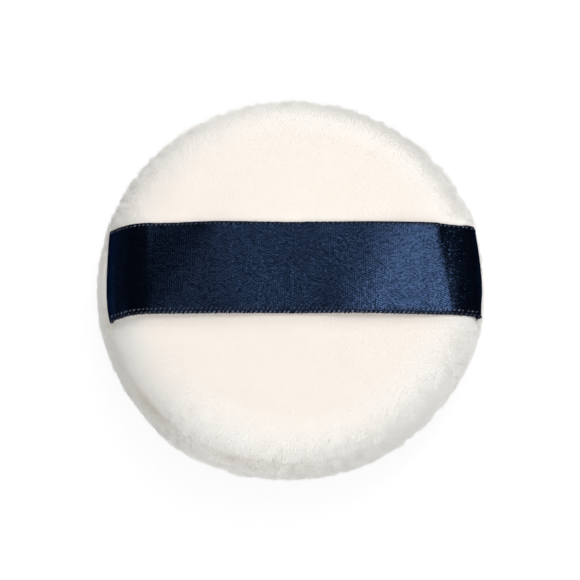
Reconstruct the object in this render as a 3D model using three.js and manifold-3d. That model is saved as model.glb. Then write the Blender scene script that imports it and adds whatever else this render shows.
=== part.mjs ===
// Round velour powder puff with a satin ribbon across its back for the fingers.
// Two velour discs are sewn together round the rim with the ribbon's ends caught in the seam. The cover
// is turned right side out, filled with a foam disc between two layers of wadding, and closed by hand.
// Millimetres, +Z up. The ribbon runs along X, and the powder face lies on the ground plane.

import * as THREE from 'three';
import { mergeVertices } from 'three/addons/utils/BufferGeometryUtils.js';
import Module from 'manifold-3d';

// Puff: across the ribbon's ends, across the other way, and how high its crown stands
const puffWidth = 76;
const puffLength = 78.6;
const puffHeight = 20;

// Height of the widest ring, the crown's rise above its shoulders, a shoulder's reach, and the flat foot
const widestHeight = 9;
const crownRise = 1.6;
const shoulderReach = 10;
const footRadius = 26;

// Rim seam, which lies above the widest ring, and how the pile rolls down into it
const seamHeight = 13.3;
const seamDip = 0.8;
const seamRoll = 1.2;

// Velour covers and their turned-in seam allowances, which are backing without pile
const coverThickness = 2.4;
const allowanceThickness = 0.8;
const allowanceEdge = 1.6;

// Foam disc, cut to stay inside the widest ring
const foamSetback = 6;
const foamThickness = 7;
const foamChamfer = 1;

// Satin ribbon: its seat is drawn into the pile, and its tails lie between the seam allowances
const ribbonWidth = 19;
const ribbonThickness = 0.4;
const ribbonSeatDepth = 1.2;
const ribbonTailSetback = 0.8;
const ribbonFreeAngle = 40;

// Sewing thread, its stitches, and the gap that is left for turning the cover, in degrees round the rim
const threadDiameter = 0.4;
const stitchLength = 6;
const turningGapPlace = 90;
const turningGapAngle = 60;

// Room between pieces that touch
const clearance = 0.3;

// Facets
const roundSegments = 36;
const crownSteps = 3;
const shoulderSteps = 6;
const rimSteps = 3;
const footSteps = 6;
const insideFootSteps = 4;
const bendSteps = 3;
const threadSides = 4;
const holeSides = 4;

// Places that several pieces share
const puffRadius = puffWidth / 2;
const lengthRatio = puffLength / puffWidth;
const seamTop = seamHeight + clearance / 2;
const seamBottom = seamHeight - clearance / 2;
const allowanceTop = seamTop + allowanceThickness;
const allowanceBottom = seamBottom - allowanceThickness;
const fillingDepth = coverThickness + clearance;
const slotHalfHeight = ribbonThickness / 2 + clearance;
const slotWidth = ribbonWidth + 2 * clearance;
const ribbonUnderDepth = ribbonSeatDepth - clearance;
const ribbonOverDepth = ribbonUnderDepth - ribbonThickness;
const freeAngle = THREE.MathUtils.degToRad(ribbonFreeAngle);
const threadRadius = threadDiameter / 2;
const needleLevel = allowanceTop + clearance + threadRadius;
const bobbinLevel = allowanceBottom - clearance - threadRadius;
const aboveStitches = needleLevel + threadRadius + clearance;
const belowStitches = bobbinLevel - threadRadius - clearance;
const foamRadius = puffRadius - foamSetback;
const foamBottom = belowStitches - foamThickness;
const farOutside = puffWidth;

const wasm = await Module();
wasm.setup();

// Solid for joining and cutting, from a closed geometry
function toSolid(geometry) {
  const bare = geometry.clone();
  bare.deleteAttribute('normal');
  bare.deleteAttribute('uv');
  const merged = mergeVertices(bare);
  const corners = merged.index.array;
  const kept = [];
  for (let i = 0; i < corners.length; i += 3) {
    const [a, b, c] = [corners[i], corners[i + 1], corners[i + 2]];
    if (a !== b && b !== c && c !== a) kept.push(a, b, c);
  }
  const vertProperties = new Float32Array(merged.attributes.position.array);
  const triVerts = new Uint32Array(kept);
  return new wasm.Manifold(new wasm.Mesh({ numProp: 3, vertProperties, triVerts }));
}

function toGeometry(solid) {
  const mesh = solid.getMesh();
  const geometry = new THREE.BufferGeometry();
  geometry.setAttribute('position', new THREE.BufferAttribute(mesh.vertProperties, 3));
  geometry.setIndex(new THREE.BufferAttribute(mesh.triVerts, 1));
  geometry.computeVertexNormals();
  return geometry;
}

function joined(solids) {
  return solids.reduce((whole, next) => whole.add(next));
}

// Height of the shoulder's arc above the widest ring, at a depth under the pile's tips
function shoulderRise(depth) {
  return puffHeight - widestHeight - crownRise - depth;
}

// Point of the upper half's profile, at a radius and a height above the widest ring that the crown adds to
function crowned(depth, radius, height) {
  const outward = radius / (puffRadius - depth);
  return new THREE.Vector2(radius, widestHeight + height + crownRise * (1 - outward * outward));
}

// Point of the shoulder, whose angle goes from 0 at the crown to a right angle at the widest ring
function shoulderPoint(depth, angle) {
  const radius = puffRadius - shoulderReach + (shoulderReach - depth) * Math.sin(angle);
  return crowned(depth, radius, shoulderRise(depth) * Math.cos(angle));
}

// Angle at which the shoulder passes a level, found by halving
function shoulderAngleAt(depth, level) {
  const halvings = 40;
  let [high, low] = [0, Math.PI / 2];
  for (let i = 0; i < halvings; i++) {
    const middle = (high + low) / 2;
    if (shoulderPoint(depth, middle).y > level) high = middle;
    else low = middle;
  }
  return low;
}

function shoulderArc(depth, firstAngle, lastAngle, steps = shoulderSteps) {
  const points = [];
  for (let i = 0; i <= steps; i++) {
    points.push(shoulderPoint(depth, firstAngle + ((lastAngle - firstAngle) * i) / steps));
  }
  return points;
}

function shoulderPointAt(depth, level) {
  return shoulderPoint(depth, shoulderAngleAt(depth, level));
}

// Profile of the upper half from the axis, over the crown and round the shoulder to an angle
function upperArc(depth, lastAngle) {
  const points = [];
  for (let i = 0; i < crownSteps; i++) {
    const radius = ((puffRadius - shoulderReach) * i) / crownSteps;
    points.push(crowned(depth, radius, shoulderRise(depth)));
  }
  return points.concat(shoulderArc(depth, 0, lastAngle));
}

// Profile of the lower half from a level on the rim, round the widest ring, down to the foot and to the axis
function lowerArc(depth, level) {
  const reach = puffRadius - footRadius - depth;
  const drop = widestHeight - depth;
  const above = level > widestHeight;
  const firstAngle = above ? 0 : Math.asin((widestHeight - level) / drop);
  const steps = depth > 0 ? insideFootSteps : footSteps;
  const points = [];
  if (above) {
    const rim = shoulderArc(depth, shoulderAngleAt(depth, level), Math.PI / 2, rimSteps);
    points.push(...rim.slice(0, -1));
  }
  for (let i = 0; i <= steps; i++) {
    const angle = firstAngle + ((Math.PI / 2 - firstAngle) * i) / steps;
    const radius = footRadius + reach * Math.cos(angle);
    points.push(new THREE.Vector2(radius, widestHeight - drop * Math.sin(angle)));
  }
  points.push(new THREE.Vector2(0, depth));
  return points;
}

// The stitches run just clear of the back cover's inside, the raw edges lie further in, and the ribbon
// goes in round the back cover's edge
const stitchRadius = shoulderPointAt(coverThickness, aboveStitches).x - threadRadius - clearance;
const allowanceRadius = stitchRadius - allowanceEdge;
const tailEnd = allowanceRadius + ribbonTailSetback;
const bendAngle = shoulderAngleAt(ribbonSeatDepth, seamHeight + slotHalfHeight);
const bendCentre = shoulderPoint(ribbonSeatDepth, bendAngle);

// Turns a half profile, given from its top on the axis to its bottom, and draws it out to the oval plan
function turned(profile) {
  const geometry = new THREE.LatheGeometry([...profile].reverse(), roundSegments);
  geometry.rotateX(Math.PI / 2);
  geometry.scale(1, lengthRatio, 1);
  return toSolid(geometry);
}

// Draws a side view in X and Z across to a width along Y
function drawnAcross(points, width) {
  const shape = new THREE.Shape(points);
  const geometry = new THREE.ExtrudeGeometry(shape, { depth: width, steps: 1, bevelEnabled: false });
  geometry.rotateX(Math.PI / 2);
  geometry.translate(0, width / 2, 0);
  return geometry;
}

// Whole arch over the back, from left to right, of a half profile that starts on the axis
function arch(rightHalf) {
  const leftHalf = rightHalf.slice(1).map((p) => new THREE.Vector2(-p.x, p.y));
  return [...leftHalf.reverse(), ...rightHalf];
}

// Channel that the ribbon draws into the back
function ribbonChannel() {
  const outline = [
    new THREE.Vector2(-farOutside, seamHeight),
    ...arch(upperArc(ribbonSeatDepth, shoulderAngleAt(ribbonSeatDepth, seamHeight))),
    new THREE.Vector2(farOutside, seamHeight),
    new THREE.Vector2(farOutside, farOutside),
    new THREE.Vector2(-farOutside, farOutside),
  ];
  return toSolid(drawnAcross(outline, slotWidth));
}

// Pockets between the allowances, open through the rim, for the ribbon's tails
function tailPockets() {
  const innerEnd = tailEnd - clearance;
  const length = farOutside - innerEnd;
  const pocket = new THREE.BoxGeometry(length, slotWidth, 2 * slotHalfHeight);
  pocket.translate(innerEnd + length / 2, 0, seamHeight);
  return toSolid(pocket).add(toSolid(pocket.clone().rotateZ(Math.PI)));
}

// Places of the stitches along a stretch of the rim between two angles in degrees
function stitchPlaces(fromDegrees, toDegrees) {
  const start = THREE.MathUtils.degToRad(fromDegrees);
  const stretch = THREE.MathUtils.degToRad(toDegrees) - start;
  const count = Math.max(2, Math.round((stretch * stitchRadius) / stitchLength));
  const places = [];
  for (let i = 0; i <= count; i++) {
    const angle = start + (stretch * i) / count;
    const across = lengthRatio * stitchRadius * Math.sin(angle);
    places.push(new THREE.Vector2(stitchRadius * Math.cos(angle), across));
  }
  return places;
}

function needleHoles(places) {
  const radius = (threadRadius + clearance) / Math.cos(Math.PI / holeSides);
  const drill = new THREE.CylinderGeometry(radius, radius, needleLevel - bobbinLevel, holeSides);
  drill.rotateX(Math.PI / 2);
  drill.translate(0, 0, (needleLevel + bobbinLevel) / 2);
  return joined(places.map((p) => toSolid(drill.clone().translate(p.x, p.y, 0))));
}

function strand(from, to) {
  const way = new THREE.Vector3().subVectors(to, from);
  const middle = new THREE.Vector3().addVectors(from, to).multiplyScalar(0.5);
  const geometry = new THREE.CylinderGeometry(threadRadius, threadRadius, way.length(), threadSides);
  const turn = new THREE.Quaternion().setFromUnitVectors(new THREE.Vector3(0, 1, 0), way.normalize());
  geometry.applyQuaternion(turn);
  geometry.translate(middle.x, middle.y, middle.z);
  return toSolid(geometry);
}

// Row of stitches: a link down each hole, and runs along the levels that the stitch uses from hole to hole
function stitchRow(places, levelsOf) {
  const at = (place, level) => new THREE.Vector3(place.x, place.y, level);
  const strands = places.map((place) => strand(at(place, bobbinLevel), at(place, needleLevel)));
  for (let i = 0; i + 1 < places.length; i++) {
    for (const level of levelsOf(i)) strands.push(strand(at(places[i], level), at(places[i + 1], level)));
  }
  return joined(strands);
}

// Velour cover of the back: crowned, drawn in under the ribbon, its allowance turned in at the rim
function backCover() {
  const profile = [
    ...upperArc(0, shoulderAngleAt(0, seamTop + seamRoll)),
    shoulderPointAt(seamDip, seamTop),
    new THREE.Vector2(allowanceRadius, seamTop),
    new THREE.Vector2(allowanceRadius, allowanceTop),
    ...upperArc(coverThickness, shoulderAngleAt(coverThickness, allowanceTop)).reverse(),
  ];
  return turned(profile).subtract(ribbonChannel()).subtract(tailPockets()).subtract(stitchHoles);
}

// Velour cover of the powder face: a flat foot and a full rounded side, its allowance turned in at the rim
function faceCover() {
  const profile = [
    ...lowerArc(coverThickness, allowanceBottom).reverse(),
    new THREE.Vector2(allowanceRadius, allowanceBottom),
    new THREE.Vector2(allowanceRadius, seamBottom),
    shoulderPointAt(seamDip, seamBottom),
    ...lowerArc(0, seamBottom - seamRoll),
  ];
  return turned(profile).subtract(tailPockets()).subtract(stitchHoles);
}

function foamCore() {
  const profile = [
    new THREE.Vector2(0, belowStitches),
    new THREE.Vector2(foamRadius - foamChamfer, belowStitches),
    new THREE.Vector2(foamRadius, belowStitches - foamChamfer),
    new THREE.Vector2(foamRadius, foamBottom + foamChamfer),
    new THREE.Vector2(foamRadius - foamChamfer, foamBottom),
    new THREE.Vector2(0, foamBottom),
  ];
  return turned(profile);
}

// Wadding that pads the crown: it lies on the foam inside the raw edges and spreads over the stitches
function upperWadding() {
  const profile = [
    ...upperArc(fillingDepth, shoulderAngleAt(fillingDepth, aboveStitches)),
    new THREE.Vector2(allowanceRadius - clearance, aboveStitches),
    new THREE.Vector2(allowanceRadius - clearance, belowStitches + clearance),
    new THREE.Vector2(0, belowStitches + clearance),
  ];
  return turned(profile);
}

// Wadding behind the powder face, which cups the foam up to the stitches
function lowerWadding() {
  const profile = [
    new THREE.Vector2(0, foamBottom - clearance),
    new THREE.Vector2(foamRadius + clearance, foamBottom - clearance),
    new THREE.Vector2(foamRadius + clearance, belowStitches),
    ...lowerArc(fillingDepth, belowStitches),
  ];
  return turned(profile);
}

// Free stretch of the ribbon, from shoulder to shoulder over the back, which lifts for the fingers
function ribbonBand() {
  const over = arch(upperArc(ribbonOverDepth, freeAngle));
  const under = arch(upperArc(ribbonUnderDepth, freeAngle));
  return toSolid(drawnAcross([...over, ...under.reverse()], ribbonWidth));
}

// One face of the ribbon's right end: down the shoulder, round the cover's edge and in between the allowances
function ribbonEndFace(depth, bendRadius) {
  const points = shoulderArc(depth, freeAngle + clearance / shoulderReach, bendAngle);
  for (let i = 1; i <= bendSteps; i++) {
    const angle = bendAngle + (Math.PI - bendAngle) * (i / bendSteps);
    const x = bendCentre.x + bendRadius * Math.sin(angle);
    points.push(new THREE.Vector2(x, bendCentre.y + bendRadius * Math.cos(angle)));
  }
  points.push(new THREE.Vector2(tailEnd, bendCentre.y - bendRadius));
  return points;
}

// End of the ribbon that is sewn into the rim, turned about the puff's axis to its side
function ribbonEnd(sideAngle) {
  const over = ribbonEndFace(ribbonOverDepth, clearance + ribbonThickness);
  const under = ribbonEndFace(ribbonUnderDepth, clearance);
  const geometry = drawnAcross([...over, ...under.reverse()], ribbonWidth).rotateZ(sideAngle);
  return toSolid(geometry).subtract(stitchHoles);
}

// The rim is machine-sewn from one side of the turning gap round to the other, and the gap by hand
const gapStart = turningGapPlace - turningGapAngle / 2;
const gapEnd = turningGapPlace + turningGapAngle / 2;
const rimPlaces = stitchPlaces(gapEnd, gapStart + 360);
const closingPlaces = stitchPlaces(gapStart, gapEnd).slice(1, -1);
const stitchHoles = needleHoles([...rimPlaces, ...closingPlaces]);
const lockstitchLevels = () => [needleLevel, bobbinLevel];
const runningStitchLevels = (i) => [i % 2 === 0 ? needleLevel : bobbinLevel];

function piece(name, solid, color, roughness) {
  const material = new THREE.MeshStandardMaterial({ color, roughness, metalness: 0 });
  const mesh = new THREE.Mesh(toGeometry(solid), material);
  mesh.name = name;
  return mesh;
}

const creamVelour = 0xfaf1e6;
const navySatin = 0x25334f;
const whiteFoam = 0xf1eee6;
const whiteWadding = 0xf7f6f2;
const creamThread = 0xefe6d8;

const pad = new THREE.Group();
pad.add(piece('face_cover', faceCover(), creamVelour, 0.95));
pad.add(piece('back_cover', backCover(), creamVelour, 0.95));
pad.add(piece('foam_core', foamCore(), whiteFoam, 0.9));
pad.add(piece('upper_wadding', upperWadding(), whiteWadding, 1));
pad.add(piece('lower_wadding', lowerWadding(), whiteWadding, 1));
pad.add(piece('rim_seam_thread', stitchRow(rimPlaces, lockstitchLevels), creamThread, 0.6));
pad.add(piece('closing_seam_thread', stitchRow(closingPlaces, runningStitchLevels), creamThread, 0.6));

const ribbon = new THREE.Group();
ribbon.add(piece('ribbon_band', ribbonBand(), navySatin, 0.35));
ribbon.add(piece('ribbon_end_right', ribbonEnd(0), navySatin, 0.35));
ribbon.add(piece('ribbon_end_left', ribbonEnd(Math.PI), navySatin, 0.35));

const puff = new THREE.Group();
puff.add(pad, ribbon);

export default puff;
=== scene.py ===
import math

import bmesh
import bpy
import numpy as np
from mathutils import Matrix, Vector, noise


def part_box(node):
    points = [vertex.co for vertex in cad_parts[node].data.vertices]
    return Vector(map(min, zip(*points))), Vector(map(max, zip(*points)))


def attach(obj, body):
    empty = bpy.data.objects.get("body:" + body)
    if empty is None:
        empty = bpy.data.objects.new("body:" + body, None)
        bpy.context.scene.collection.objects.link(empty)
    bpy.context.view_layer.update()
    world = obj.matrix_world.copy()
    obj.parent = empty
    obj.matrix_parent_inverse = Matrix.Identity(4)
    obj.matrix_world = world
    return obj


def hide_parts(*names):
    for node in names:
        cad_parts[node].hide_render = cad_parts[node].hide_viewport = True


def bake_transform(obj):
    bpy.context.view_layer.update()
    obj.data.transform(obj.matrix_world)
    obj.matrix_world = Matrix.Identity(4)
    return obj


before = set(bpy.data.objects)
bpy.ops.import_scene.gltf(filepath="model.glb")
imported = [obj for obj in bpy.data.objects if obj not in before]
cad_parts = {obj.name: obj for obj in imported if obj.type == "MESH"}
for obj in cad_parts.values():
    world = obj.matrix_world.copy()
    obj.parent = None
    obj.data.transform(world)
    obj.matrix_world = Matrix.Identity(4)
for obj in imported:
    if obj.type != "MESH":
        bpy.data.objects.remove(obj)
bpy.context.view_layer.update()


# Filling
# A foam disc gives the puff its body, and two layers of loose white wadding round it off above and below.
# They are laid into the cover before it is closed, and nothing is sewn to them.
mm = 0.001
foam_pore_size = 0.7 * mm
foam_pore_depth = 0.3 * mm
foam_tones = (0.70, 0.67, 0.60, 1), (0.90, 0.88, 0.82, 1)
wadding_tuft_size = 4 * mm
wadding_tuft_height = 0.6 * mm
wadding_tones = (0.84, 0.83, 0.80, 1), (0.96, 0.96, 0.94, 1)


def shader_material(name, roughness):
    """A new material with its tree and its Principled shader's inputs, which the caller's nodes feed."""
    material = bpy.data.materials.new(name)
    material.use_nodes = True
    shader = material.node_tree.nodes["Principled BSDF"]
    shader.inputs["Roughness"].default_value = roughness
    return material, material.node_tree, shader.inputs


def feed(tree, socket, value):
    """Sets an input socket to a constant, or links it to the socket that feeds it."""
    if isinstance(value, bpy.types.NodeSocket):
        tree.links.new(value, socket)
    else:
        socket.default_value = value


def add_node(tree, kind, modes=None, **inputs):
    """The outputs by name of a new node. Its inputs are given by name, with _ for a space."""
    node = tree.nodes.new(kind)
    for name, value in (modes or {}).items():
        setattr(node, name, value)
    for name, value in inputs.items():
        label = name.replace("_", " ")
        feed(tree, next(s for s in node.inputs if s.enabled and s.name == label), value)
    return {socket.name: socket for socket in node.outputs if socket.enabled}


def maths(tree, operation, *values, kind="ShaderNodeMath"):
    """The result of a Math node, or of another kind of it, whose inputs are given in order."""
    node = tree.nodes.new(kind)
    node.operation = operation
    for socket, value in zip([s for s in node.inputs if s.enabled], values):
        feed(tree, socket, value)
    return next(s for s in node.outputs if s.enabled)


def mixed(tree, factor, first, second, kind="RGBA"):
    """Colour, or number, that runs from the first to the second one with a factor."""
    return add_node(tree, "ShaderNodeMix", {"data_type": kind}, Factor=factor, A=first, B=second)["Result"]


def bumps(tree, height, distance, strength=1.0):
    """Normals of a surface that a height raises by a distance."""
    return add_node(tree, "ShaderNodeBump", Height=height, Distance=distance, Strength=strength)["Normal"]


def textured(name, roughness, tones, height, kind, output, modes=None, **inputs):
    """A material whose texture runs from a dark to a light tone and raises the surface."""
    material, tree, shader = shader_material(name, roughness)
    place = add_node(tree, "ShaderNodeTexCoord")["Object"]
    pattern = add_node(tree, kind, modes, Vector=place, **inputs)[output]
    feed(tree, shader["Base Color"], mixed(tree, pattern, *tones))
    feed(tree, shader["Normal"], bumps(tree, pattern, height))
    return material


def add_object(name, data):
    """A new object of the scene with its mesh, lamp or camera."""
    added = bpy.data.objects.new(name, data)
    bpy.context.scene.collection.objects.link(added)
    return added


def new_piece(name, mesh, material):
    """A new object of a mesh with its one material."""
    piece = add_object(name, mesh)
    mesh.materials.clear()
    mesh.materials.append(material)
    return piece


def filling(node, name, material):
    """A soft filling in its solid's place, with the solid's flat facets rounded off."""
    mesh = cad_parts[node].data.copy()
    form = bmesh.new()
    form.from_mesh(mesh)
    bmesh.ops.remove_doubles(form, verts=form.verts, dist=0.01 * mm)
    bmesh.ops.join_triangles(form, faces=form.faces, angle_face_threshold=0.6, angle_shape_threshold=0.9)
    form.to_mesh(mesh)
    form.free()
    piece = new_piece(name, mesh, material)
    rounding = piece.modifiers.new("rounding", "SUBSURF")
    rounding.levels = rounding.render_levels = 2
    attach(piece, "pad")
    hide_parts(node)
    return piece


foam = textured("foam", 0.9, foam_tones, foam_pore_depth, "ShaderNodeTexVoronoi", "Distance",
                Scale=1 / foam_pore_size)
foam_disc = filling("foam_core", "foam_disc", foam)
wadding = textured("wadding", 1.0, wadding_tones, wadding_tuft_height, "ShaderNodeTexNoise", "Fac",
                   Scale=1 / wadding_tuft_size, Detail=6.0)
for node, name in (("lower_wadding", "wadding_below"), ("upper_wadding", "wadding_above")):
    filling(node, name, wadding)


# Velour covers
# Two discs of cream velour, one for the powder face and one for the back, sewn together round the rim and
# turned right side out, so that the seam lies in a crease of the pile. The filling swells them like a bun.
face_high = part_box("face_cover")[1]
back_low, back_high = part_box("back_cover")
band_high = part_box("ribbon_band")[1]
pad_radius = face_high.x
length_ratio = face_high.y / face_high.x
crown_height = back_high.z
seam_height = (face_high.z + back_low.z) / 2
ribbon_half_width = band_high.y
ribbon_offset = 0.3 * mm
widest_height = 9 * mm
crown_rise = 1.6 * mm
shoulder_reach = 10 * mm
foot_radius = 26 * mm
# The right shoulder is fuller than the others, and the back sits a little towards it
left_fullness = 1.0
right_fullness = 0.55
ribbon_fullness = 0.3
ribbon_fullness_spread = 0.3
back_shift = 0.6 * mm
# How deep the velour's dense pile lies under its loose tips, and the cover's wall
tip_depth = 0.6 * mm
cover_thickness = 1.5 * mm
# The seam's crease, and how far the seam draws it in round the rim as a share of its depth, which also sets
# how much shade is painted into its velour
crease_depth = 0.35 * mm
crease_width = 1.0 * mm
crease_shift = 0.6 * mm
seam_pull, seam_pull_swing, seam_pull_rate = 0.15, 0.25, 6
seam_pull_least, seam_pull_most = 0.05, 0.4
# Tucks where the seam pulls hardest: angle round the rim, spread in degrees and share of the crease's depth
tucks = ((196, 5, 0.6), (223, 9, 0.9), (253, 7, 0.6))
# Bulges beside them and in front of the ribbon's right end: angle, spread and height
bulges = ((237, 14, 0.7 * mm), (344, 9, 0.5 * mm))
bulge_heights, bulge_radii = (1 * mm, 6 * mm), (26 * mm, 34 * mm)
# The ribbon's seat, the dent of its right end and the groove along its front edge
seat_depth = 0.35 * mm
seat_slope = 0.6 * mm
end_dent = 0.5 * mm
end_dent_radii = (30 * mm, 36 * mm)
groove_depth = 1.0 * mm
groove_reach = 2.4 * mm
groove_lip = 0.5 * mm
groove_lip_share = 0.3
# Points of the side view, points round the pad, and rings from the crown to the seam and on to the foot
crown_points, shoulder_points, foot_points = 120, 240, 60
segments = 360
back_rings = 60
face_rings = 72
# The filling's pressure is simulated on a coarser form ten times as large as the puff
sim_scale = 10
sim_segment_step = 4
sim_ring_step = 3
sim_pressure = 4.0
sim_frames = 20
swell_limit = 0.3 * mm
foot_height = 0.3 * mm
# Clumps of the pile round the rim, which fade out towards the crown and the foot
clump_size = 2.2 * mm
clump_height = 0.16 * mm
clump_radii, clump_heights = (29 * mm, 36 * mm), (0.3 * mm, 2 * mm)
# Tones of the velour from the middle of the back to the rim, and a darker tone that paints shade into the
# seam's crease
velour_middle = (0.975, 0.922, 0.865, 1)
velour_rim = (0.955, 0.945, 0.92, 1)
crease_painted_shade = (0.90, 0.86, 0.805, 1)
middle_radius = 25 * mm
rim_radius = 37 * mm
tone_patch_size = 7 * mm
tone_patch_shift = 6 * mm
nap_size = 0.35 * mm
nap_depth = 0.1 * mm


def bell(distance, width):
    """Share that is 1 in the middle and falls off to both sides."""
    return np.exp(-(distance / width) ** 2)


def smooth_step(low, high, value):
    """Share that rises from 0 at the low end to 1 at the high end."""
    share = np.clip((value - low) / (high - low), 0, 1)
    return share * share * (3 - 2 * share)


def pad_profile(fullness, depth):
    """Side view of the pad at a depth under its pile's tips, from the crown's middle to the foot's middle."""
    turn = np.linspace(0, math.pi / 2, shoulder_points)
    radius = pad_radius - depth
    reach = shoulder_reach - depth
    rise = crown_height - widest_height - crown_rise - depth
    crown_r = np.linspace(0, radius - reach, crown_points, endpoint=False)
    shoulder_r = radius - reach + reach * np.sin(turn) ** fullness
    side_r = foot_radius + (radius - foot_radius) * np.cos(turn[1:])
    foot_r = np.linspace(foot_radius, 0, foot_points)[1:]
    upper_r = np.append(crown_r, shoulder_r)
    upper_z = widest_height + rise * np.append(np.ones_like(crown_r), np.cos(turn) ** fullness)
    upper_z = upper_z + crown_rise * (1 - (upper_r / radius) ** 2)
    lower_z = np.append(widest_height * (1 - np.sin(turn[1:])), np.zeros_like(foot_r))
    return np.concatenate([upper_r, side_r, foot_r]), np.append(upper_z, lower_z)


def even_steps(radii, heights, steps):
    """The same line in steps of even length."""
    length = np.append(0, np.cumsum(np.hypot(np.diff(radii), np.diff(heights))))
    places = np.linspace(0, length[-1], steps + 1)
    return np.interp(places, length, radii), np.interp(places, length, heights)


def pad_side(side_angle):
    """Side view at one angle round the rim, in even rings from the crown to the seam and on to the foot."""
    towards_right = max(0.0, math.cos(side_angle)) ** 2
    fullness = left_fullness + (right_fullness - left_fullness) * towards_right
    if math.cos(side_angle) > 0:
        fullness = fullness - ribbon_fullness * bell(math.sin(side_angle), ribbon_fullness_spread)
    radii, heights = pad_profile(fullness, tip_depth)
    cut = np.argmax(heights < seam_height)
    share = (heights[cut - 1] - seam_height) / (heights[cut - 1] - heights[cut])
    seam_r = radii[cut - 1] + share * (radii[cut] - radii[cut - 1])
    above = even_steps(np.append(radii[:cut], seam_r), np.append(heights[:cut], seam_height), back_rings)
    below = even_steps(np.append(seam_r, radii[cut:]), np.append(seam_height, heights[cut:]), face_rings)
    return np.append(above[0], below[0][1:]), np.append(above[1], below[1][1:])


def clumps(grid):
    """Uneven height of the pile's clumps at each point, from -1 to 1."""
    height = [noise.fractal(Vector(point) / clump_size, 0.8, 2.0, 3) for point in grid.reshape(-1, 3)]
    return np.array(height).reshape(grid.shape[:2])


def pad_form():
    """Grid of the filled pad, angle by ring, its way out, and the shares of its seat, crease and groove."""
    angles = np.arange(segments) * 2 * math.pi / segments
    sides = [pad_side(angle) for angle in angles]
    radii = np.array([side[0] for side in sides])
    heights = np.array([side[1] for side in sides])
    # Direction square to the side view's line, which points out of the pad
    along_r = np.gradient(radii, axis=1)
    along_z = np.gradient(heights, axis=1)
    size = np.hypot(along_r, along_z)
    out_r, out_z = -along_z / size, along_r / size
    run = np.hypot(np.diff(radii, axis=1), np.diff(heights, axis=1))
    along = np.concatenate([np.zeros((segments, 1)), np.cumsum(run, axis=1)], axis=1)
    from_seam = along - along[:, back_rings][:, None]
    turn_x, turn_y = np.cos(angles)[:, None], length_ratio * np.sin(angles)[:, None]
    across = radii * turn_y
    on_back = np.arange(back_rings + face_rings + 1) < back_rings
    from_ribbon = np.abs(across - ribbon_offset) - ribbon_half_width
    seat = (1 - smooth_step(-seat_slope, 0, from_ribbon)) * on_back
    # The ribbon's pull draws the velour down along its front edge
    beside = np.maximum(from_ribbon, 0)
    groove = bell(beside, groove_reach) * (1 - groove_lip_share * bell(beside, groove_lip))
    groove = groove * (1 - seat) * on_back * (across < 0)
    # The seam is drawn in unevenly, most of all at the front left
    round_rim = [Vector((math.cos(a), math.sin(a), 0)) * seam_pull_rate for a in angles]
    pulls = np.array([noise.noise(place + Vector((0, 0, 0.5))) for place in round_rim])
    pull = np.clip(seam_pull + seam_pull_swing * pulls, seam_pull_least, seam_pull_most)
    degrees = np.degrees(angles)
    for angle, spread, share in tucks:
        pull = pull + share * bell(degrees - angle, spread)
    # Its share sets the crease's depth, and also how much shade is painted into the velour there
    crease = bell(from_seam - crease_shift, crease_width) * pull[:, None]
    rim = smooth_step(*clump_radii, radii) * smooth_step(*clump_heights, heights) * (1 - seat)
    rough = clumps(np.stack([radii * turn_x, across, heights], axis=2)) * rim
    bulge = sum(height * bell(degrees - angle, spread) for angle, spread, height in bulges)[:, None]
    bulge = bulge * smooth_step(*bulge_heights, heights) * smooth_step(*bulge_radii, radii) * (1 - seat)
    # The ribbon's right end draws the rim in
    pressed = (seat_depth + end_dent * smooth_step(*end_dent_radii, radii * turn_x)) * seat
    depth = np.maximum(crease_depth * crease, pressed) - bulge + groove_depth * groove - clump_height * rough
    radii = radii - depth * out_r
    heights = np.maximum(heights - depth * out_z, 0)
    shift = back_shift * smooth_step(widest_height, crown_height - crown_rise, heights)
    grid = np.stack([radii * turn_x + shift, radii * turn_y, heights], axis=2)
    out = np.stack([out_r * turn_x, out_r * turn_y, out_z + 0 * turn_x], axis=2)
    return grid, out, seat, crease, groove


def new_mesh(name, points, faces):
    """A new mesh of points and faces."""
    mesh = bpy.data.meshes.new(name)
    mesh.from_pydata(points, [], faces)
    return mesh


def quads(first, second, third, fourth):
    """Faces with four corners, whose numbers are given in four arrays."""
    return np.stack([first, second, third, fourth], axis=-1).reshape(-1, 4)


def open_rings(closed_start, closed_end):
    """The rings between the first and the last one where these are one point."""
    return slice(int(closed_start), -1 if closed_end else None)


def wrapped_mesh(name, grid, closed_start, closed_end):
    """Mesh of rings round the axis, whose first or last ring may be one point."""
    body = grid[:, open_rings(closed_start, closed_end)]
    count, rings = body.shape[:2]
    points = list(body.transpose(1, 0, 2).reshape(-1, 3))
    here = np.arange(rings * count).reshape(rings, count)
    beside = np.roll(here, -1, axis=1)
    faces = quads(here[:-1], here[1:], beside[1:], beside[:-1]).tolist()
    if closed_start:
        points.append(grid[0, 0])
        faces += [(len(points) - 1, i, j) for i, j in zip(here[0].tolist(), beside[0].tolist())]
    if closed_end:
        points.append(grid[0, -1])
        faces += [(len(points) - 1, j, i) for i, j in zip(here[-1].tolist(), beside[-1].tolist())]
    mesh = new_mesh(name, points, faces)
    mesh.polygons.foreach_set("use_smooth", [True] * len(faces))
    return mesh


def finer(values, axis, step, wraps):
    """Values on a coarse grid, spread smoothly over one with more points along an axis."""
    values = np.moveaxis(values, axis, 0)
    count = len(values)
    places = np.arange(count * step if wraps else (count - 1) * step + 1) / step
    low = np.floor(places).astype(int)
    share = (places - low).reshape((-1,) + (1,) * (values.ndim - 1))
    weights = ((1 - share) ** 3, 3 * share ** 3 - 6 * share ** 2 + 4,
               -3 * share ** 3 + 3 * share ** 2 + 3 * share + 1, share ** 3)
    total = 0
    for offset, weight in zip((-1, 0, 1, 2), weights):
        index = (low + offset) % count if wraps else np.clip(low + offset, 0, count - 1)
        total = total + weight / 6 * values[index]
    return np.moveaxis(total, 0, axis)


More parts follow.
